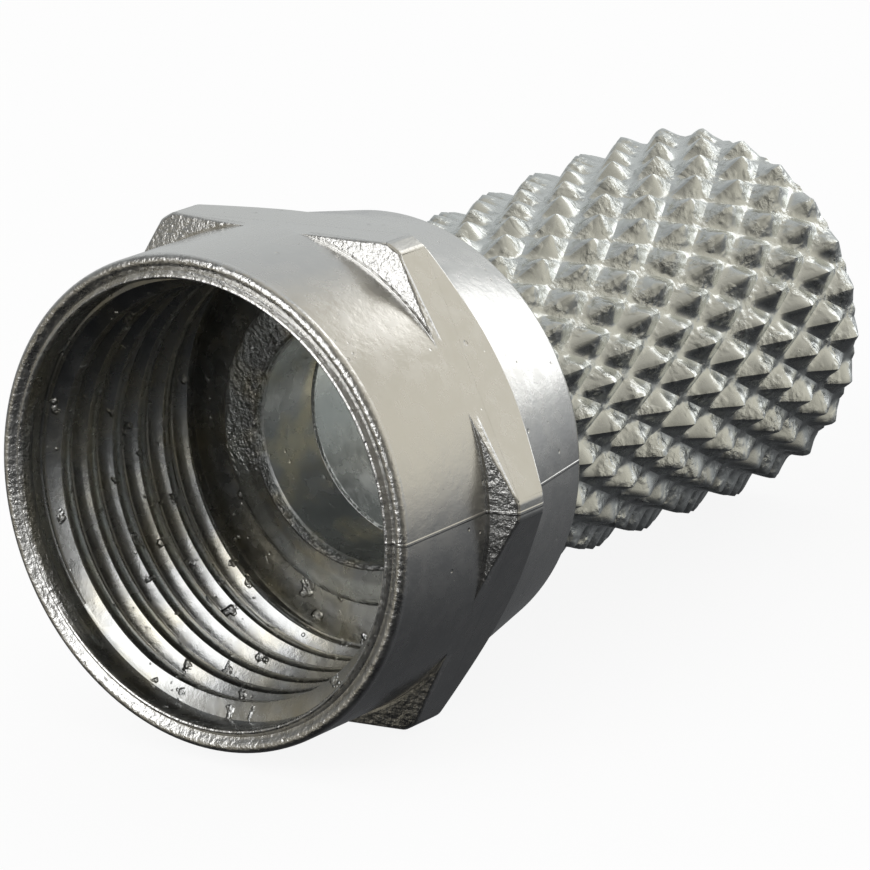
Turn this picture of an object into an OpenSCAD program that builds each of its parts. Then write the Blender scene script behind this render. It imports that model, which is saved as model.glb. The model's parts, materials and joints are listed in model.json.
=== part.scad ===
// Screw-on plug for a round aerial cable.
// A coupling nut with a narrow hexagon turns freely on the neck of a knurled
// sleeve, and a lip rolled outwards on the end of the neck holds the two together.
// Both pieces are drawn about the plug's own axis, from the nut's mouth at x = 0 to
// the cable end, and laid_down() puts them on their side as they come to rest.

/* [Coupling nut] */
// Height of the smooth collar above the middle of the hexagon's flats
collar_proud = 0.05; // [0.02:0.01:0.2]
// Diameter at the rear face, which the nut's back tapers to before its edge is rounded
back_d = 9.6; // [8.6:0.1:10.3]
// Thickness of the nut's rear wall, which the neck passes through
rear_wall = 1.25; // [0.8:0.05:2]
// Rounding of the outer edge at the mouth
mouth_round = 0.15; // [0.05:0.01:0.25]
// Rounding of the edge at the rear face
back_round = 0.3; // [0.1:0.05:0.4]

/* [Hexagon] */
// Distance across the flats
hex_af = 10.6; // [10.4:0.1:14]
// Distance from the mouth to the front of the hexagon
hex_from = 2.85; // [2:0.05:3.2]
// Width of a flat, measured at its middle
hex_w = 1.65; // [1.3:0.05:2]
// How far the corners are blunted, measured from the sharp corner
corner_blunt = 0.1; // [0.05:0.01:0.4]
// How far the front face leans back at the corners
front_lean = 0.22; // [0.02:0.02:0.4]
// How far the rear edge is cut back at the corners
rear_cut = 0.55; // [0.2:0.05:0.8]

/* [Port thread] */
// Diameter inside the crests of the internal thread
thread_crest_d = 8.8; // [8.6:0.05:9]
// Diameter of the smooth entry before the thread and of the relief behind it
thread_relief_d = 9.64; // [9.55:0.01:9.8]
// Length of the smooth entry
entry_l = 0.7; // [0.4:0.05:1.2]
// Length of the threaded wall, with the chamfer that leads into it
thread_l = 4.2; // [3.5:0.1:5.5]
// Length of the relief between the thread and the rear wall, where the lip lies
relief_l = 0.95; // [0.8:0.05:1.6]

/* [Sleeve] */
// Overall length of the plug, from the nut's mouth to the cable end
plug_l = 19.25; // [16:0.25:26]
// Bore of the neck, which the cable's inner insulation passes through
neck_bore_d = 5.42; // [4.8:0.02:6.6]
// Wall of the neck that the nut turns on
neck_wall = 0.34; // [0.3:0.01:0.5]
// Height of the rolled lip above the neck
lip_h = 0.6; // [0.4:0.05:0.65]
// Thickness of the lip
lip_t = 0.36; // [0.25:0.01:0.6]
// Step in radius from the neck's bore to the wider bore for the cable's jacket
bore_step = 0.59; // [0.4:0.01:0.7]
// Length from the shoulder behind the nut to the start of the wider bore
shoulder_l = 0.3; // [0.2:0.05:1.2]
// Wall between the wider bore and the knurl's hollows at the front
sleeve_wall = 0.3; // [0.28:0.01:0.6]

/* [Knurl] */
// How much the sleeve's radius grows from the first row of points to the last
knurl_flare = 0.45; // [0:0.05:0.8]
// Points in one ring
knurl_count = 24; // [16:1:30]
// Distance along the sleeve from one point to the next in line
knurl_pitch = 1.88; // [1.4:0.02:2.4]
// Height of the points
knurl_h = 0.4; // [0.2:0.02:0.5]
// Turn of the knurl about the axis, in degrees
knurl_turn = 13.3; // [0:0.1:15]

/* [Fits] */
// Radial clearance between the neck and the nut
neck_gap = 0.05; // [0.02:0.01:0.1]
// Clearance along the axis at each side of the nut's rear wall
end_play = 0.1; // [0.05:0.01:0.3]

/* [Hidden] */
$fn = 96;
flat_r = hex_af / 2;
collar_r = flat_r + collar_proud;
corner_r = flat_r / cos(30) - corner_blunt;
hex_to = hex_from + hex_w;
back_r = back_d / 2;
relief_r = thread_relief_d / 2;
crest_r = thread_crest_d / 2;
neck_bore_r = neck_bore_d / 2;
neck_r = neck_bore_r + neck_wall;
lip_r = neck_r + lip_h;
cable_bore_r = neck_bore_r + bore_step;
knurl_front_r = cable_bore_r + sleeve_wall + knurl_h;
knurl_rear_r = knurl_front_r + knurl_flare;

// Places along the axis, from the mouth to the cable end.
thread_to = entry_l + thread_l;
wall_from = thread_to + relief_l;
nut_l = wall_from + rear_wall;
lip_from = wall_from - end_play - lip_t;
shoulder_at = nut_l + end_play;
cable_bore_from = shoulder_at + shoulder_l;
bore_lead = 0.3;

// The nut's back is a cone from the hexagon to the rear face, with a rounded edge.
back_taper = atan((collar_r - back_r) / (nut_l - hex_to));
back_edge_x = nut_l - back_round;
back_edge_r = back_r + back_round * tan(back_taper) - back_round / cos(back_taper);

// Rows of points stand half a pitch apart, and the last one is just inside the cable end.
end_margin = 0.3;
end_fall = 0.25;
row_step = knurl_pitch / 2;
last_row_x = plug_l - end_margin;
row_count = floor((last_row_x - shoulder_at) / row_step - 0.5) + 1;
first_row_x = last_row_x - (row_count - 1) * row_step;
column_count = 2 * knurl_count;

// The plug rests on the edge where the back meets the hexagon and on the last row of
// points, so its axis leans by rest_tilt. The origin is under the middle of its length.
rest_tilt = atan2(collar_r - knurl_rear_r, last_row_x - hex_to);
rest_height = collar_r * cos(rest_tilt) + hex_to * sin(rest_tilt);
mouth_reach = mouth_round * (1 - cos(rest_tilt)) + (collar_r - mouth_round) * sin(rest_tilt);
tail_reach = plug_l * cos(rest_tilt) + (knurl_rear_r - end_fall) * sin(rest_tilt);
rest_shift = (mouth_reach - tail_reach) / 2;

plated = [0.78, 0.76, 0.72];
plated_dark = [0.66, 0.66, 0.66];

// Lays a piece on its side, as the plug comes to rest.
module laid_down() {
    translate([rest_shift, 0, rest_height]) rotate([0, rest_tilt, 0]) children();
}

// A solid of revolution about the x axis, from an outline of [x, radius] points.
module turned(outline) {
    rotate([0, 90, 0]) rotate_extrude() polygon([for (p = outline) [p[1], p[0]]]);
}

// A plain bore about the x axis.
module bored(from, to, radius) {
    translate([from, 0, 0]) rotate([0, 90, 0]) cylinder(r = radius, h = to - from);
}

// Points of an arc in an outline. The angle is 0 where the surface faces outwards from
// the axis, and 90 where it faces the cable end.
function arc(x, radius, size, start, end, steps) = [
    for (k = [0 : steps])
        let (a = start + (end - start) * k / steps) [x + size * sin(a), radius + size * cos(a)]
];

// The nut's outside, turned over its whole length with a raised band for the hexagon.
module nut_blank() {
    turned(concat(
        [[0, 0]],
        arc(mouth_round, collar_r - mouth_round, mouth_round, -90, 0, 4),
        [[hex_from, collar_r], [hex_from + front_lean, corner_r]],
        [[hex_to - rear_cut, corner_r], [hex_to, collar_r]],
        arc(back_edge_x, back_edge_r, back_round, back_taper, 90, 5),
        [[nut_l, 0]]
    ));
}

// What is cut from the band to leave six flats, one of them facing straight down.
module hex_cut() {
    difference() {
        bored(hex_from, hex_to, corner_r + 1);
        translate([hex_from - 1, 0, 0]) rotate([0, 90, 0]) rotate(30)
            cylinder(r = flat_r / cos(30), h = hex_w + 2, $fn = 6);
    }
}

// The room inside the nut: smooth entry, threaded wall, relief, and the hole for the neck.
module nut_room() {
    bored(-1, entry_l, relief_r);
    turned([[entry_l, 0], [entry_l, relief_r],
            [entry_l + relief_r - crest_r, crest_r], [thread_to, 0]]);
    bored(entry_l, thread_to, crest_r);
    bored(thread_to, wall_from, relief_r);
    bored(wall_from - 1, nut_l + 1, neck_r + neck_gap);
}

// Coupling nut: die-cast in one piece, screwed onto the socket by hand or by its hexagon.
module coupling_nut() {
    color(plated) laid_down() difference() {
        nut_blank();
        hex_cut();
        nut_room();
    }
}

// Radius over the points at any place along the sleeve.
function knurl_r(x) = knurl_front_r + knurl_flare * (x - first_row_x) / (last_row_x - first_row_x);

// One ring of the knurl: points and hollows take turns, counted back from the last row.
function knurl_ring(row) = let (x = first_row_x + row * row_step) [
    for (column = [0 : column_count - 1])
        ring_point(x, knurl_r(x) - ((row_count - 1 - row + column) % 2) * knurl_h, column)
];

function ring_point(x, radius, column) =
    let (turn = knurl_turn + column * 360 / column_count) [x, radius * sin(turn), radius * cos(turn)];

// A diamond knurl as one closed skin. Two sets of helical V grooves cross, so that each
// point is a pyramid of four flat faces that meet their neighbours along the grooves.
module knurl_skin() {
    front_ring = [for (c = [0 : column_count - 1]) ring_point(shoulder_at, knurl_front_r - knurl_h, c)];
    rear_ring = [
        for (c = [0 : column_count - 1])
            ring_point(plug_l, knurl_rear_r - (c % 2 == 0 ? end_fall : knurl_h), c)
    ];
    rings = concat([front_ring], [for (row = [0 : row_count - 1]) knurl_ring(row)], [rear_ring]);
    last_ring = len(rings) - 1;
    sides = [
        for (r = [0 : last_ring - 1], c = [0 : column_count - 1])
            let (
                next = (c + 1) % column_count,
                near = r * column_count + c,
                near_next = r * column_count + next,
                far = near + column_count,
                far_next = near_next + column_count,
                starts_on_point = (last_ring - 1 - r + c) % 2 == 0
            )
            each starts_on_point
                ? [[near, near_next, far], [far_next, far, near_next]]
                : [[near, far_next, far], [near, near_next, far_next]]
    ];
    front_cap = [for (c = [column_count - 1 : -1 : 0]) c];
    rear_cap = [for (c = [0 : column_count - 1]) last_ring * column_count + c];
    polyhedron(points = [for (ring = rings) each ring], faces = concat([front_cap], sides, [rear_cap]));
}

// Knurled sleeve: the cable is screwed into it by hand. Its neck carries the nut.
module knurled_sleeve() {
    color(plated_dark) laid_down() difference() {
        union() {
            knurl_skin();
            turned(concat(
                [[lip_from, 0]],
                arc(lip_from + lip_t / 2, lip_r - lip_t / 2, lip_t / 2, -90, 90, 6),
                [[lip_from + lip_t, neck_r], [shoulder_at + shoulder_l / 2, neck_r]],
                [[shoulder_at + shoulder_l / 2, 0]]
            ));
        }
        bored(lip_from - 1, cable_bore_from + 1, neck_bore_r);
        bored(cable_bore_from, plug_l + 1, cable_bore_r);
        turned([[plug_l - bore_lead, 0], [plug_l - bore_lead, cable_bore_r],
                [plug_l, cable_bore_r + bore_lead], [plug_l + 1, cable_bore_r + bore_lead], [plug_l + 1, 0]]);
    }
}

coupling_nut();
knurled_sleeve();
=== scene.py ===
import json
import math

import bpy
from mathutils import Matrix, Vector


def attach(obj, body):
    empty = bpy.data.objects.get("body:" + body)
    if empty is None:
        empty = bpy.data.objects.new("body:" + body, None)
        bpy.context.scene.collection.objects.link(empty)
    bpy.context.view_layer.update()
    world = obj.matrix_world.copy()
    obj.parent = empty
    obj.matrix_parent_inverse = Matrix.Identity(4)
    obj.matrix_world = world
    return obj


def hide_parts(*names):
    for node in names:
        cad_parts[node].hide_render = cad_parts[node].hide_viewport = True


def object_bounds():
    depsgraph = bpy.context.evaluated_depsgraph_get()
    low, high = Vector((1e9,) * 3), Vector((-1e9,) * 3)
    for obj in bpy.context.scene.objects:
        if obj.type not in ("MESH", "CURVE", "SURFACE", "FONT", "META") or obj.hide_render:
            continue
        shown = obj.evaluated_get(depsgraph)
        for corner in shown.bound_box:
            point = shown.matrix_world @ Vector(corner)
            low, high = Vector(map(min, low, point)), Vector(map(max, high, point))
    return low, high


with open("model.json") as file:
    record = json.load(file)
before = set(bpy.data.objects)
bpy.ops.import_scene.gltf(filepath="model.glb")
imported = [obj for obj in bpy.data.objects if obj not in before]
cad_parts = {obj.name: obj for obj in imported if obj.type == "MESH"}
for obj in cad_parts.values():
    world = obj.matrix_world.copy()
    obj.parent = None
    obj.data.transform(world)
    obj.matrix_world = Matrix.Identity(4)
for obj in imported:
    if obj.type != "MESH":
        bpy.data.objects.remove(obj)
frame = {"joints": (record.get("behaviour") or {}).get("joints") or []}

cad_lowest, cad_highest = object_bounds()

# ---------------------------------------------------------------------------
# Camera. A long lens looks down into the nut's mouth from its left, so that the
# thread, the hexagon and the whole barrel show at once. It leans a little, as a
# camera held by hand does.
camera_lens = bpy.data.cameras.new("camera")
camera_lens.sensor_width = 36
camera_lens.lens = 210.2
camera_lens.clip_start = 0.01
camera = bpy.data.objects.new("camera", camera_lens)
bpy.context.scene.collection.objects.link(camera)
plug_middle = (cad_lowest + cad_highest) / 2
camera.location = plug_middle + Vector((-0.08525, -0.06450, 0.03483))
camera.rotation_euler = [math.radians(turn) for turn in (71.317, 3.930, -53.785)]
bpy.context.scene.camera = camera

# ---------------------------------------------------------------------------
# Studio. A pale paper floor in front of plain white. The metal shows the room round
# it instead: pale at table height, a little greyer overhead, dark below the table's
# edge, dimmer behind the mouth and warmer to the right. Soft boxes give the highlights.
bpy.context.scene.view_settings.view_transform = "Standard"


def put_nodes(tree, names):
    """Empties a node tree and adds nodes to it, given as name: type."""
    tree.nodes.clear()
    return {name: tree.nodes.new(kind) for name, kind in names.items()}


def ramp_stops(node, stops):
    """Sets a colour ramp's stops from (place, colour) pairs."""
    ramp = node.color_ramp
    while len(ramp.elements) < len(stops):
        ramp.elements.new(1)
    for element, (place, colour) in zip(ramp.elements, stops):
        element.position = place
        element.color = (*colour, 1)


room = bpy.data.worlds.new("room")
bpy.context.scene.world = room
room.use_nodes = True
n = put_nodes(room.node_tree, {
    "direction": "ShaderNodeTexCoord", "axes": "ShaderNodeSeparateXYZ",
    "height": "ShaderNodeMapRange", "wall": "ShaderNodeValToRGB",
    "depth": "ShaderNodeMapRange", "shade": "ShaderNodeMix",
    "right": "ShaderNodeVectorMath", "side": "ShaderNodeMapRange",
    "warmth": "ShaderNodeMix", "tinted": "ShaderNodeMix",
    "towards": "ShaderNodeVectorMath", "near": "ShaderNodeMapRange", "table": "ShaderNodeMix",
    "ray": "ShaderNodeLightPath", "metal": "ShaderNodeMath", "for_metal": "ShaderNodeMix",
    "for_eye": "ShaderNodeMix", "light": "ShaderNodeBackground", "out": "ShaderNodeOutputWorld",
})
link = room.node_tree.links.new
link(n["direction"].outputs["Generated"], n["axes"].inputs[0])
n["height"].inputs["From Min"].default_value = -1
link(n["axes"].outputs["Z"], n["height"].inputs["Value"])
link(n["height"].outputs[0], n["wall"].inputs[0])
ramp_stops(n["wall"], [
    (0.14, (0.05, 0.05, 0.053)), (0.24, (0.09, 0.09, 0.094)), (0.34, (0.17, 0.17, 0.175)),
    (0.42, (0.42, 0.42, 0.43)), (0.50, (0.62, 0.62, 0.62)), (0.66, (0.62, 0.62, 0.62)),
    (0.85, (0.52, 0.52, 0.53)), (1.0, (0.60, 0.60, 0.61)),
])
n["depth"].inputs["From Min"].default_value = -0.25
n["depth"].inputs["From Max"].default_value = 0.65
n["depth"].inputs["To Min"].default_value = 0.20
link(n["axes"].outputs["X"], n["depth"].inputs["Value"])
n["shade"].data_type, n["shade"].blend_type = "RGBA", "MULTIPLY"
n["shade"].inputs[0].default_value = 1
link(n["wall"].outputs[0], n["shade"].inputs[6])
link(n["depth"].outputs[0], n["shade"].inputs[7])
n["right"].operation = "DOT_PRODUCT"
n["right"].inputs[1].default_value = (0, 1, -0.9)
link(n["direction"].outputs["Generated"], n["right"].inputs[0])
n["side"].inputs["From Min"].default_value = -0.65
n["side"].inputs["From Max"].default_value = -0.35
link(n["right"].outputs["Value"], n["side"].inputs["Value"])
for mix in ("warmth", "tinted"):
    n[mix].data_type = "RGBA"
n["warmth"].inputs[6].default_value = (1.18, 1.12, 0.96, 1)
n["warmth"].inputs[7].default_value = (0.97, 1.0, 1.0, 1)
link(n["side"].outputs[0], n["warmth"].inputs[0])
n["tinted"].blend_type = "MULTIPLY"
n["tinted"].inputs[0].default_value = 1
link(n["shade"].outputs[2], n["tinted"].inputs[6])
link(n["warmth"].outputs[2], n["tinted"].inputs[7])
n["towards"].operation = "DOT_PRODUCT"
n["towards"].inputs[1].default_value = (-0.76, 0.62, -0.10)
link(n["direction"].outputs["Generated"], n["towards"].inputs[0])
n["near"].inputs["From Min"].default_value = 0.78
n["near"].inputs["From Max"].default_value = 0.98
link(n["towards"].outputs["Value"], n["near"].inputs["Value"])
n["table"].data_type = "RGBA"
n["table"].inputs[7].default_value = (0.27, 0.25, 0.20, 1)
link(n["near"].outputs[0], n["table"].inputs[0])
link(n["tinted"].outputs[2], n["table"].inputs[6])
n["metal"].operation = "MAXIMUM"
link(n["ray"].outputs["Is Glossy Ray"], n["metal"].inputs[0])
link(n["ray"].outputs["Is Transmission Ray"], n["metal"].inputs[1])
for mix in ("for_metal", "for_eye"):
    n[mix].data_type = "RGBA"
n["for_metal"].inputs[6].default_value = (0.72, 0.72, 0.72, 1)
link(n["metal"].outputs[0], n["for_metal"].inputs[0])
link(n["table"].outputs[2], n["for_metal"].inputs[7])
n["for_eye"].inputs[7].default_value = (1, 1, 1, 1)
link(n["ray"].outputs["Is Camera Ray"], n["for_eye"].inputs[0])
link(n["for_metal"].outputs[2], n["for_eye"].inputs[6])
link(n["for_eye"].outputs[2], n["light"].inputs[0])
link(n["light"].outputs[0], n["out"].inputs[0])

bpy.ops.object.select_all(action="DESELECT")
bpy.ops.mesh.primitive_circle_add(vertices=96, radius=0.6, fill_type="NGON", location=(0, 0, 0))
floor = bpy.context.object
floor.name = "floor"
floor.visible_glossy = False
paper = bpy.data.materials.new("white_paper")
paper.use_nodes = True
n = put_nodes(paper.node_tree, {
    "ray": "ShaderNodeLightPath", "share": "ShaderNodeMath", "paper": "ShaderNodeBsdfDiffuse",
    "white": "ShaderNodeEmission", "mix": "ShaderNodeMixShader", "out": "ShaderNodeOutputMaterial",
})
link = paper.node_tree.links.new
n["paper"].inputs["Color"].default_value = (0.93, 0.93, 0.93, 1)
n["share"].operation = "MULTIPLY"
n["share"].inputs[1].default_value = 0.9
link(n["ray"].outputs["Is Camera Ray"], n["share"].inputs[0])
link(n["share"].outputs[0], n["mix"].inputs[0])
link(n["paper"].outputs[0], n["mix"].inputs[1])
link(n["white"].outputs[0], n["mix"].inputs[2])
link(n["mix"].outputs[0], n["out"].inputs[0])
floor.data.materials.append(paper)


def soft_box(name, bearing, height, distance, size, glow):
    """A soft box that faces the plug. Bearing and height are angles in degrees, the
    bearing turned from the cable end's side, and glow is how bright its face looks."""
    lamp = bpy.data.lights.new(name, "AREA")
    lamp.shape = "RECTANGLE"
    lamp.size, lamp.size_y = size
    lamp.energy = glow * math.pi * size[0] * size[1]
    box = bpy.data.objects.new(name, lamp)
    bpy.context.scene.collection.objects.link(box)
    b, h = math.radians(bearing), math.radians(height)
    away = Vector((math.cos(b) * math.cos(h), math.sin(b) * math.cos(h), math.sin(h)))
    box.location = plug_middle + away * distance
    box.rotation_euler = away.to_track_quat("Z", "Y").to_euler()
    box.visible_camera = False


soft_box("back_box", -8, 18, 0.30, (0.11, 0.22), 1.25)
soft_box("left_box", 168, 27, 0.40, (0.25, 0.35), 2.3)
soft_box("front_box", -167, 2, 0.40, (0.03, 0.06), 2.0)

# ---------------------------------------------------------------------------
# Coupling nut. Die-cast zinc, tumbled and nickel plated: a smooth collar round the
# mouth, a narrow hexagon, a tapered back, and a tapped thread inside that screws onto
# the socket. It is worked on in millimetres, along X from its mouth, and laid down last.
spin_joint = frame["joints"][0]
plug_axis = Vector(spin_joint["axis"])
lean = math.atan2(-plug_axis.z, plug_axis.x)
mm = 0.001
joint_from_mouth = 6.475
mouth = Vector(spin_joint["pos_m"]) - plug_axis * joint_from_mouth * mm
weld = 0.0005


def deselect():
    if bpy.context.object and bpy.context.object.mode != "OBJECT":
        bpy.ops.object.mode_set(mode="OBJECT")
    bpy.ops.object.select_all(action="DESELECT")


def take_up(piece):
    """Selects one piece and makes it the active one."""
    deselect()
    piece.select_set(True)
    bpy.context.view_layer.objects.active = piece


def draw_outline(name, points):
    """Draws a chain of edges through [x, radius] points, by extruding one vertex."""
    deselect()
    bpy.ops.mesh.primitive_plane_add(size=0.1)
    piece = bpy.context.object
    piece.name = name
    bpy.ops.object.mode_set(mode="EDIT")
    bpy.ops.mesh.merge(type="CENTER")
    bpy.ops.transform.translate(value=(points[0][0], 0, points[0][1]))
    for here, there in zip(points, points[1:]):
        bpy.ops.mesh.extrude_vertices_move(
            TRANSFORM_OT_translate={"value": (there[0] - here[0], 0, there[1] - here[1])}
        )
    return piece


def turn_outline(name, points, steps):
    """Spins an outline about the plug's axis, as a lathe would."""
    piece = draw_outline(name, points)
    bpy.ops.mesh.select_all(action="SELECT")
    bpy.ops.mesh.remove_doubles(threshold=weld)
    bpy.ops.mesh.spin(steps=steps, angle=math.tau, center=(0, 0, 0), axis=(1, 0, 0))
    bpy.ops.mesh.select_all(action="SELECT")
    bpy.ops.mesh.remove_doubles(threshold=weld)
    bpy.ops.mesh.normals_make_consistent(inside=False)
    bpy.ops.object.mode_set(mode="OBJECT")
    return piece


def arc(x, radius, size, start, end, steps):
    """Points of an arc: 0 degrees faces away from the axis, 90 the cable end."""
    turns = [math.radians(start + (end - start) * k / steps) for k in range(steps + 1)]
    return [(x + size * math.sin(t), radius + size * math.cos(t)) for t in turns]


def cut_away(piece, tool):
    """Cuts the tool's shape out of the piece and throws the tool away."""
    take_up(piece)
    cut = piece.modifiers.new("cut", "BOOLEAN")
    cut.object, cut.operation, cut.solver = tool, "DIFFERENCE", "EXACT"
    bpy.ops.object.modifier_apply(modifier="cut")
    bpy.data.objects.remove(tool)


def trim_ends(start, end, closed):
    """Cuts the mesh in hand off square at both ends, and closes it there or leaves it open."""
    for x, side in ((start, -1), (end, 1)):
        bpy.ops.mesh.select_all(action="SELECT")
        bpy.ops.mesh.bisect(
            plane_co=(x, 0, 0), plane_no=(side, 0, 0), use_fill=closed, clear_outer=True,
            threshold=1e-5,
        )


def make_tap(name, crest_r, root_r, pitch, start, end, steps):
    """A screw-cutting tap: one pitch of thread outline, flat at the root and steep at the
    sides, wound round the axis, with both ends cut square and closed."""
    depth = root_r - crest_r
    half = [
        (0, crest_r), (0.13 * pitch, crest_r + 0.02 * depth), (0.19 * pitch, crest_r + 0.10 * depth),
        (0.355 * pitch, crest_r + 0.88 * depth), (0.385 * pitch, crest_r + 0.98 * depth),
        (0.40 * pitch, root_r),
    ]
    outline = half + [(pitch - x, r) for x, r in reversed(half)]
    tap = draw_outline(name, [(x + start - 1.5 * pitch, r) for x, r in outline])
    bpy.ops.object.mode_set(mode="OBJECT")
    wind = tap.modifiers.new("wind", "SCREW")
    wind.axis, wind.angle, wind.screw_offset = "X", math.tau, pitch
    wind.iterations = math.ceil((end - start) / pitch) + 3
    wind.steps = wind.render_steps = steps
    wind.use_merge_vertices, wind.merge_threshold = True, weld
    bpy.ops.object.modifier_apply(modifier="wind")
    bpy.ops.object.mode_set(mode="EDIT")
    bpy.ops.mesh.select_all(action="SELECT")
    bpy.ops.mesh.remove_doubles(threshold=weld)
    trim_ends(start, end, closed=True)
    bpy.ops.mesh.select_all(action="SELECT")
    bpy.ops.mesh.normals_make_consistent(inside=False)
    bpy.ops.object.mode_set(mode="OBJECT")
    return tap


def lay_down(piece):
    """Brings a finished piece to its real size and place, with both in its mesh."""
    take_up(piece)
    piece.scale = (mm, mm, mm)
    piece.rotation_euler = (0, lean, 0)
    piece.location = mouth
    bpy.ops.object.transform_apply(location=True, rotation=True, scale=True)


collar_r, back_r = 5.35, 4.80
flat_r, corner_r = 5.30, 6.02
hex_from, corner_from, corner_to, hex_to = 2.85, 3.07, 3.95, 4.50
wall_from, nut_l = 5.85, 7.10
mouth_round, back_round, back_round_r = 0.15, 0.30, 4.557
bead_from, bead_r = 0.015, 4.845
entry_r, neck_hole_r = 4.82, 3.10
hole_edge, floor_corner = 0.06, 0.12
thread_crest_r, thread_root_r, thread_pitch = 4.44, 4.78, 0.852
thread_from, thread_to = 0.66, 5.20
uncut_r = 4.20
tap_from, tap_to = 0.023, 5.50
back_taper = math.degrees(math.atan2(collar_r - back_r, nut_l - hex_to))

bead_and_groove = [
    (bead_from, bead_r), (0, 4.875), (0.015, 4.915), (0.07, 4.945), (0.10, 4.99), (0.08, 5.06),
    (0.02, 5.13),
]
nut_outline = (
    bead_and_groove
    + arc(mouth_round, collar_r - mouth_round, mouth_round, -90, 0, 6)
    + [(hex_from, collar_r), (corner_from, corner_r), (corner_to, corner_r), (hex_to, flat_r - 0.01)]
    + arc(nut_l - back_round, back_round_r, back_round, back_taper, 90, 8)
    + [(nut_l, neck_hole_r + hole_edge), (nut_l - hole_edge, neck_hole_r)]
    + [(wall_from + hole_edge, neck_hole_r), (wall_from, neck_hole_r + hole_edge)]
    + [(wall_from, entry_r - floor_corner), (wall_from - 0.035, entry_r - 0.035)]
    + [(wall_from - floor_corner, entry_r), (thread_to, entry_r), (thread_to, uncut_r)]
    + [(thread_from + 0.25, uncut_r), (thread_from + 0.04, 4.64), (thread_from, entry_r)]
    + [(0.06, entry_r), (bead_from, bead_r)]
)
nut = turn_outline("coupling_nut_detail", nut_outline, 180)
slab_t = 2
for side in range(6):
    deselect()
    bpy.ops.mesh.primitive_cube_add(size=1)
    slab = bpy.context.object
    turn = math.radians(60 * side)
    slab_at = flat_r + slab_t / 2
    slab.dimensions = (hex_to - hex_from, 9, slab_t)
    slab.location = ((hex_from + hex_to) / 2, slab_at * math.sin(turn), -slab_at * math.cos(turn))
    slab.rotation_euler = (turn, 0, 0)
    cut_away(nut, slab)
tap = make_tap("tap", thread_crest_r, thread_root_r, thread_pitch, tap_from, tap_to, 144)
cut_away(nut, tap)

# The hexagon's edges stay crisp where they meet the collar and the cone. Those that
# stand proud are worn round, less and less where they run into the collar.
take_up(nut)
mesh = nut.data
weights = mesh.attributes.new("bevel_weight_edge", "FLOAT", "EDGE")
facing = {}
for face in mesh.polygons:
    for key in face.edge_keys:
        facing.setdefault(key, []).append(face.normal.copy())
for edge in mesh.edges:
    middle = (mesh.vertices[edge.vertices[0]].co + mesh.vertices[edge.vertices[1]].co) / 2
    above = math.hypot(middle.y, middle.z) - collar_r
    sides = facing[edge.key]
    turned = sides[0].angle(sides[1])
    if hex_from + 0.005 < middle.x < hex_to and above > 0.02 and turned > 0.3:
        weights.data[edge.index].value = min(1, above / 0.3)
    if hex_from < middle.x < hex_to + 0.01 and above > -0.07 and turned > 0.1:
        edge.use_edge_sharp = True
bpy.ops.object.shade_smooth_by_angle(angle=math.radians(30))
bevel = nut.modifiers.new("bevel", "BEVEL")
bevel.limit_method, bevel.width, bevel.segments = "WEIGHT", 0.06, 3
bevel.use_clamp_overlap, bevel.harden_normals = False, True
bpy.ops.object.modifier_apply(modifier="bevel")
lay_down(nut)


class Shader:
    """A material's nodes, added one by one and linked to what they take in."""

    def __init__(self, name):
        self.material = bpy.data.materials.new(name)
        self.material.use_nodes = True
        self.tree = self.material.node_tree
        self.tree.nodes.clear()

    def add(self, kind, inputs, output=0, **settings):
        node = self.tree.nodes.new("ShaderNode" + kind)
        for key, value in settings.items():
            setattr(node, key, value)
        for key, value in inputs.items():
            if isinstance(value, bpy.types.NodeSocket):
                self.tree.links.new(value, node.inputs[key])
            else:
                node.inputs[key].default_value = value
        return node.outputs[output]

    def work_out(self, operation, *values):
        return self.add("Math", dict(enumerate(values)), operation=operation)

    def times(self, first, second):
        return self.work_out("MULTIPLY", first, second)

    def greatest(self, first, *others):
        for other in others:
            first = self.work_out("MAXIMUM", first, other)
        return first

    def ramp(self, value, low, high, start=0.0, end=1.0):
        """Goes from start to end as the value goes from low to high."""
        return self.add("MapRange", {
            "Value": value, "From Min": low, "From Max": high, "To Min": start, "To Max": end,
        })

    def mix(self, share, first, second):
        return self.add("Mix", {0: share, 6: first, 7: second}, output=2, data_type="RGBA")

    def bump(self, height, depth, over=None):
        """Depth is in millimetres, where the height goes from 0 to 1."""
        inputs = {"Height": height, "Distance": depth * mm, "Strength": 1.0}
        if over is not None:
            inputs["Normal"] = over
        return self.add("Bump", inputs)


def own_places(shader):
    """Where a point lies on the plug's own axis, in millimetres: the place itself, its
    distance from the mouth, its distance from the axis, and its turn from the top."""
    place = shader.add("TexCoord", {}, output="Object")
    own = shader.add("Mapping", {
        "Vector": place, "Location": mouth, "Rotation": (0, lean, 0), "Scale": (mm, mm, mm),
    }, vector_type="TEXTURE")
    axes = shader.tree.nodes.new("ShaderNodeSeparateXYZ")
    shader.tree.links.new(own, axes.inputs[0])
    x, y, z = axes.outputs
    squares = shader.work_out("ADD", shader.times(y, y), shader.times(z, z))
    radius = shader.work_out("SQRT", squares)
    turn = shader.work_out("DEGREES", shader.work_out("ARCTAN2", shader.times(y, -1.0), z))
    return own, x, radius, turn


def band(shader, value, low, high, soft):
    """1 between low and high, falling to 0 over a soft edge outside them."""
    rise = shader.ramp(value, low - soft, low)
    fall = shader.ramp(value, high, high + soft, 1.0, 0.0)
    return shader.times(rise, fall)


def noise(shader, own, size, detail=3, roughness=0.5):
    """Noise whose blotches are about size millimetres across."""
    return shader.add("TexNoise", {
        "Vector": own, "Scale": 1 / size, "Detail": detail, "Roughness": roughness,
    })


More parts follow.
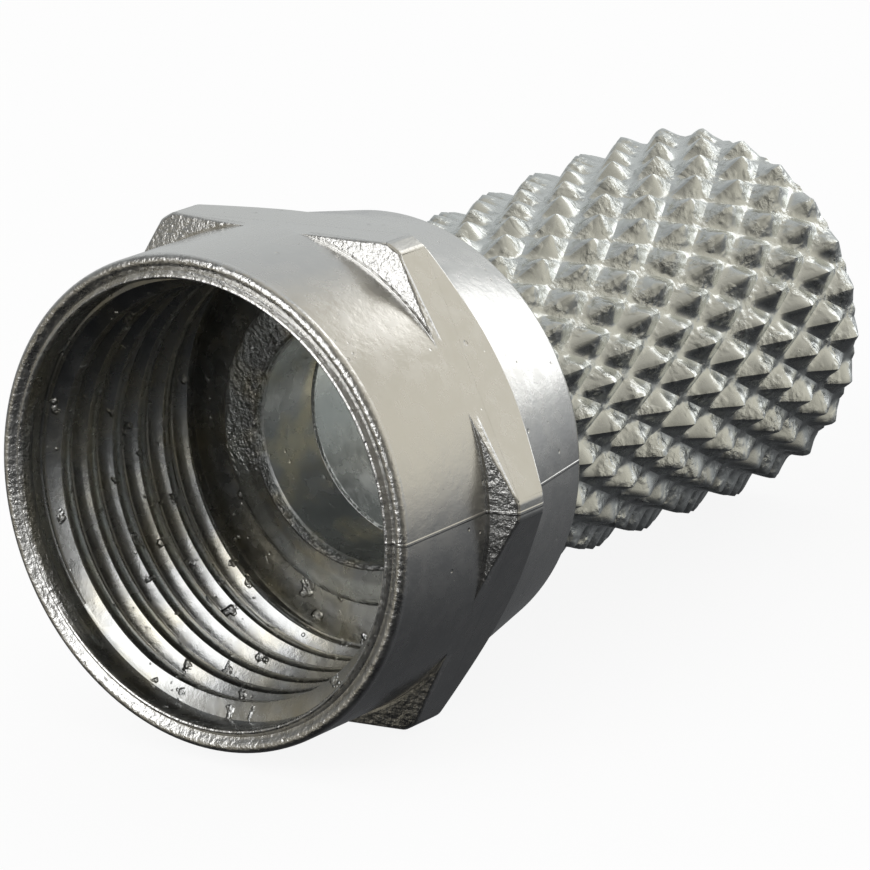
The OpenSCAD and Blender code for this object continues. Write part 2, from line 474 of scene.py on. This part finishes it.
def plate_surface(shader, own, bright, shade_colours, painted_shade, rough_cast):
    """Nickel plate between two bright colours. hidden is 1 in the recesses, where painted shade
    darkens the colour to two greyer ones with brownish blotches, and rough_cast is 1 where the
    casting was left rough. Gives the colour, the roughness and the bumps."""
    cloud = noise(shader, own, 0.45, 5)
    brown_blotches = shader.ramp(noise(shader, own, 1.3, 3), 0.45, 0.62)
    colour = shader.mix(painted_shade, shader.mix(cloud, *bright), shader.mix(brown_blotches, *shade_colours))
    smooth = shader.ramp(cloud, 0.3, 0.7, 0.20, 0.32)
    roughness = shader.work_out("ADD", smooth, shader.times(rough_cast, 0.14))
    wave = shader.bump(noise(shader, own, 0.9, 2), 0.012)
    peel = shader.bump(noise(shader, own, 0.16, 2), 0.004, wave)
    grain = shader.bump(noise(shader, own, 0.045, 3), 0.0018, peel)
    cells = shader.add("TexVoronoi", {"Vector": own, "Scale": 2.6})
    reach = shader.ramp(noise(shader, own, 0.6, 1), 0.45, 0.75, 0.0, 0.16)
    pit = shader.ramp(shader.work_out("SUBTRACT", cells, reach), -0.03, 0.03)
    pits = shader.bump(pit, 0.010, grain)
    sand = shader.times(noise(shader, own, 0.15, 3, 0.6), rough_cast)
    return colour, roughness, shader.bump(sand, 0.16, pits)


def finish_plate(shader, colour, roughness, normal):
    surface = shader.add("BsdfPrincipled", {
        "Base Color": colour, "Roughness": roughness, "Normal": normal, "Metallic": 1.0,
    })
    out = shader.tree.nodes.new("ShaderNodeOutputMaterial")
    shader.tree.links.new(surface, out.inputs["Surface"])
    return shader.material


# The skin was left rough on the hexagon's front faces, on the rim, on a patch inside the
# mouth and in chips along the thread. The mould left a fine seam along the nut.
nut_plate = Shader("nut_nickel_plate")
own, x, radius, turn = own_places(nut_plate)
# inside is 1 on the nut's inner walls and thread. There the colour is darkened as painted shade, and
# chips of rough skin lie there too.
inside = nut_plate.times(
    nut_plate.ramp(radius, entry_r + 0.01, entry_r + 0.03, 1.0, 0.0), nut_plate.ramp(x, 0.02, 0.10)
)
step_face = nut_plate.times(
    band(nut_plate, x, hex_from + 0.01, corner_from - 0.03, 0.05),
    nut_plate.ramp(radius, collar_r + 0.01, collar_r + 0.07, 0.0, 0.32),
)
rim = nut_plate.ramp(x, 0.05, 0.20, 0.22, 0.0)
entry_side = nut_plate.times(
    band(nut_plate, x, 0.10, 0.30, 0.10), band(nut_plate, turn, -125, -85, 15)
)
entry_patch = nut_plate.times(
    nut_plate.ramp(radius, entry_r + 0.02, entry_r + 0.04, 1.0, 0.0), entry_side
)
chips = nut_plate.times(
    inside, nut_plate.ramp(noise(nut_plate, own, 0.5, 3), 0.64, 0.70, 0.0, 0.35)
)
rough_cast = nut_plate.greatest(step_face, rim, entry_patch, chips)
nut_bright = (0.70, 0.695, 0.68, 1), (0.78, 0.775, 0.755, 1)
# The greyer colours of the painted shade inside the nut, the second brownish.
nut_shade_colours = (0.50, 0.505, 0.50, 1), (0.57, 0.55, 0.48, 1)
colour, roughness, normal = plate_surface(nut_plate, own, nut_bright, nut_shade_colours, inside, rough_cast)
seam = band(nut_plate, turn, 90.2, 90.6, 0.25)
normal = nut_plate.bump(seam, 0.010, normal)
nut.data.materials.append(finish_plate(nut_plate, colour, roughness, normal))
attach(nut, "nut")
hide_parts("coupling_nut")

# ---------------------------------------------------------------------------
# Knurled sleeve. Die-cast zinc, nickel plated. Its neck passes through the nut's rear
# wall and ends in a rolled lip; behind the nut it is a barrel of small pyramids, with a
# coarse thread in its bore that bites into the cable's jacket.
neck_bore_r, neck_r, lip_r = 2.71, 3.05, 3.65
lip_from, lip_t = 5.39, 0.36
lip_to = lip_from + lip_t
shoulder_at, cable_bore_from, sleeve_l = 7.20, 7.50, 19.25
cable_bore_r = 3.30
jacket_thread_h, jacket_thread_pitch, jacket_thread_from = 0.14, 1.45, 10.50
point_r, point_h, point_pitch = 3.765, 0.42, 1.88
points_round, row_count, knurl_turn = 24, 8, 13.3
last_row_x, fall_from, last_row_fall = 18.95, 18.45, 0.75
flare = 0.1302

# One point: a low pyramid that fills its place in the ring.
deselect()
bpy.ops.mesh.primitive_cone_add(
    vertices=4, radius1=1, radius2=0, depth=point_h, end_fill_type="NOTHING"
)
point = bpy.context.object
point.name = "knurled_sleeve_detail"
bpy.ops.object.mode_set(mode="EDIT")
half_turn = math.pi / points_round
hollow_r = point_r - point_h
bpy.ops.mesh.select_all(action="SELECT")
bpy.ops.transform.resize(value=(point_pitch / 2, hollow_r * math.sin(half_turn), 1))
bpy.ops.transform.translate(value=(last_row_x, 0, hollow_r + point_h / 2))
bpy.ops.object.mode_set(mode="OBJECT")
for corner in point.data.vertices:
    if abs(corner.co.y) > 0.1:
        corner.co.z = hollow_r * math.cos(half_turn)

# Rings of points, row before row, and the same again half a step on to fill between.
deselect()
bpy.ops.object.empty_add()
step_round = bpy.context.object
step_round.rotation_euler = (2 * half_turn, 0, 0)
take_up(point)
ring = point.modifiers.new("ring", "ARRAY")
ring.use_relative_offset, ring.use_object_offset = False, True
ring.offset_object, ring.count = step_round, points_round
rows = point.modifiers.new("rows", "ARRAY")
rows.use_relative_offset, rows.use_constant_offset = False, True
rows.constant_offset_displace = (-point_pitch, 0, 0)
rows.count = row_count
bpy.ops.object.modifier_apply(modifier="ring")
bpy.ops.object.modifier_apply(modifier="rows")
bpy.data.objects.remove(step_round)
take_up(point)
bpy.ops.object.duplicate(linked=False)
between = bpy.context.object
bpy.ops.object.mode_set(mode="EDIT")
bpy.ops.mesh.select_all(action="SELECT")
bpy.ops.transform.translate(value=(point_pitch / 2, 0, 0))
bpy.ops.transform.rotate(value=half_turn, orient_axis="X", center_override=(0, 0, 0))
bpy.ops.object.mode_set(mode="OBJECT")
deselect()
between.select_set(True)
point.select_set(True)
bpy.context.view_layer.objects.active = point
bpy.ops.object.join()
sleeve = point
bpy.ops.object.mode_set(mode="EDIT")
bpy.ops.mesh.select_all(action="SELECT")
bpy.ops.mesh.remove_doubles(threshold=0.002)
bpy.ops.transform.rotate(
    value=math.radians(knurl_turn), orient_axis="X", center_override=(0, 0, 0)
)

# The points are rounded as a casting's are, the last row falls away at the cable end,
# and the barrel widens that way.
bpy.ops.mesh.subdivide(number_cuts=7)
trim_ends(shoulder_at, sleeve_l, closed=False)
bpy.ops.mesh.select_all(action="DESELECT")
bpy.ops.mesh.select_mode(type="VERT")
bpy.ops.object.mode_set(mode="OBJECT")
for vertex in sleeve.data.vertices:
    vertex.select = shoulder_at + 0.05 < vertex.co.x < sleeve_l - 0.05
bpy.ops.object.mode_set(mode="EDIT")
bpy.ops.mesh.vertices_smooth(factor=0.5, repeat=4)
bpy.ops.object.mode_set(mode="OBJECT")
for vertex in sleeve.data.vertices:
    past = (vertex.co.x - fall_from) / (sleeve_l - fall_from)
    height = math.hypot(vertex.co.y, vertex.co.z)
    if past > 0 and height > hollow_r:
        fallen = (hollow_r + (height - hollow_r) * (1 - last_row_fall * past ** 2)) / height
        vertex.co.y *= fallen
        vertex.co.z *= fallen
widen = sleeve.modifiers.new("widen", "SIMPLE_DEFORM")
widen.deform_method, widen.deform_axis, widen.factor = "TAPER", "X", flare
take_up(sleeve)
bpy.ops.object.modifier_apply(modifier="widen")

# The neck, the lip and the bores, turned as one lining and joined to the points.
sleeve_outline = (
    [(shoulder_at, neck_r + 0.05), (shoulder_at - 0.02, neck_r)]
    + [(lip_to, neck_r)]
    + list(reversed(arc(lip_from + lip_t / 2, lip_r - lip_t / 2, lip_t / 2, -90, 90, 10)))
    + [(lip_from, neck_bore_r + 0.05), (lip_from + 0.05, neck_bore_r)]
    + [(cable_bore_from - 0.10, neck_bore_r), (cable_bore_from - 0.06, neck_bore_r - 0.03)]
    + [(cable_bore_from - 0.02, neck_bore_r - 0.03), (cable_bore_from, neck_bore_r)]
    + [(cable_bore_from, cable_bore_r - 0.10), (cable_bore_from + 0.10, cable_bore_r)]
    + [(sleeve_l - 0.30, cable_bore_r), (sleeve_l - 0.02, cable_bore_r + 0.28)]
    + [(sleeve_l, cable_bore_r + 0.32)]
)
lining = turn_outline("lining", sleeve_outline, 192)
deselect()
lining.select_set(True)
sleeve.select_set(True)
bpy.context.view_layer.objects.active = sleeve
bpy.ops.object.join()
bpy.ops.object.mode_set(mode="EDIT")
bpy.ops.mesh.select_mode(type="EDGE")
for x in (shoulder_at, sleeve_l):
    bpy.ops.mesh.select_all(action="DESELECT")
    bpy.ops.mesh.select_non_manifold(
        extend=False, use_wire=False, use_boundary=True, use_multi_face=False,
        use_non_contiguous=False, use_verts=False,
    )
    bpy.ops.object.mode_set(mode="OBJECT")
    for edge in sleeve.data.edges:
        ends = [sleeve.data.vertices[v].co.x for v in edge.vertices]
        edge.select = edge.select and all(abs(end - x) < 0.01 for end in ends)
    bpy.ops.object.mode_set(mode="EDIT")
    bpy.ops.mesh.bridge_edge_loops()
bpy.ops.mesh.select_mode(type="VERT")
bpy.ops.mesh.select_all(action="SELECT")
bpy.ops.mesh.normals_make_consistent(inside=False)
bpy.ops.object.mode_set(mode="OBJECT")
jacket_tap = make_tap(
    "jacket_tap", cable_bore_r - 0.02, cable_bore_r + jacket_thread_h, jacket_thread_pitch,
    jacket_thread_from, sleeve_l + 0.35, 96,
)
cut_away(sleeve, jacket_tap)
take_up(sleeve)
bpy.ops.object.shade_smooth_by_angle(angle=math.radians(25))
lay_down(sleeve)

# Painted shade darkens the lip's front at half strength and the neck's bore, all but the burr.
# The skin was left rough on one side of the lip, at the bore's edge and burr, and in specks
# over the points.
sleeve_plate = Shader("sleeve_nickel_plate")
own, x, radius, turn = own_places(sleeve_plate)
front_face = sleeve_plate.ramp(x, lip_to - 0.15, lip_to - 0.05, 1.0, 0.0)
bore_wall = sleeve_plate.ramp(radius, neck_r, cable_bore_r - 0.05, 1.0, 0.0)
# The recesses get painted shade: the lip's front at half strength, the neck's bore in full.
painted_shade = sleeve_plate.greatest(sleeve_plate.times(front_face, 0.5), bore_wall)
burr_place = band(sleeve_plate, x, cable_bore_from - 0.10, cable_bore_from - 0.03, 0.02)
burr = sleeve_plate.times(bore_wall, burr_place)
# The burr is left out of the painted shade.
painted_shade = sleeve_plate.work_out("SUBTRACT", painted_shade, burr)
upper_patch = sleeve_plate.times(front_face, band(sleeve_plate, turn, -95, -45, 20))
bore_edge = sleeve_plate.times(
    front_face, band(sleeve_plate, radius, neck_bore_r - 0.01, neck_bore_r + 0.07, 0.03)
)
speckle = sleeve_plate.ramp(noise(sleeve_plate, own, 0.6, 2), 0.45, 0.65, 0.0, 0.32)
knurl = sleeve_plate.times(
    sleeve_plate.ramp(radius, cable_bore_r + 0.20, cable_bore_r + 0.30), speckle
)
rough_cast = sleeve_plate.greatest(upper_patch, bore_edge, knurl, burr)
sleeve_bright = (0.665, 0.685, 0.67, 1), (0.75, 0.775, 0.76, 1)
# The greyer colours of the painted shade in the lip and bore, the second brownish.
sleeve_shade_colours = (0.38, 0.385, 0.38, 1), (0.58, 0.53, 0.40, 1)
colour, roughness, normal = plate_surface(
    sleeve_plate, own, sleeve_bright, sleeve_shade_colours, painted_shade, rough_cast
)
sleeve.data.materials.append(finish_plate(sleeve_plate, colour, roughness, normal))
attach(sleeve, "sleeve")
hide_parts("knurled_sleeve")
